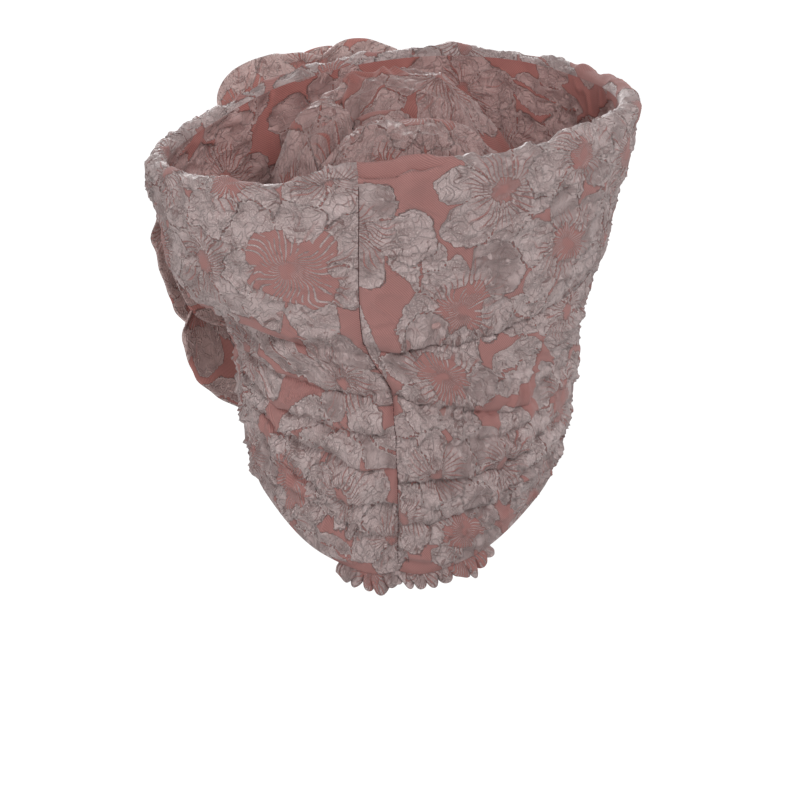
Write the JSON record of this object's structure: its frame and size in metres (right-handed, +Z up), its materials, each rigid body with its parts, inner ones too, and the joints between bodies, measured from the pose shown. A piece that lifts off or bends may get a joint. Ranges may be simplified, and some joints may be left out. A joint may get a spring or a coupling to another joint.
{
  "type": "turban cap",
  "caption": "Ready-made brocade head wrap: a flared padded ring with a puffed crown, a gathered nape and a large cloth flower.",
  "frame": {"origin": "the point that the top of the wearer's head comes to, under the puffed crown", "axes": "+Z up; the wearer faces -Y and the wearer's left is +X, so the nape is at +Y"},
  "size_m": [0.2556, 0.2821, 0.2631],
  "materials": {
    "brocade": "crinkled floral jacquard, silvery pink motifs on a matt dusty rose ground"
  },
  "bodies": {
    "root": {"wrap_shell": "brocade", "crown_puff": "brocade", "nape_frill": "brocade", "flower_bud": "brocade", "outer_petal_1": "brocade", "outer_petal_2": "brocade", "outer_petal_3": "brocade", "outer_petal_4": "brocade", "outer_petal_5": "brocade", "outer_petal_6": "brocade", "outer_petal_7": "brocade", "middle_petal_1": "brocade", "middle_petal_2": "brocade", "middle_petal_3": "brocade", "middle_petal_4": "brocade", "middle_petal_5": "brocade", "inner_petal_1": "brocade", "inner_petal_2": "brocade", "inner_petal_3": "brocade", "inner_petal_4": "brocade"}
  },
  "joints": []
}
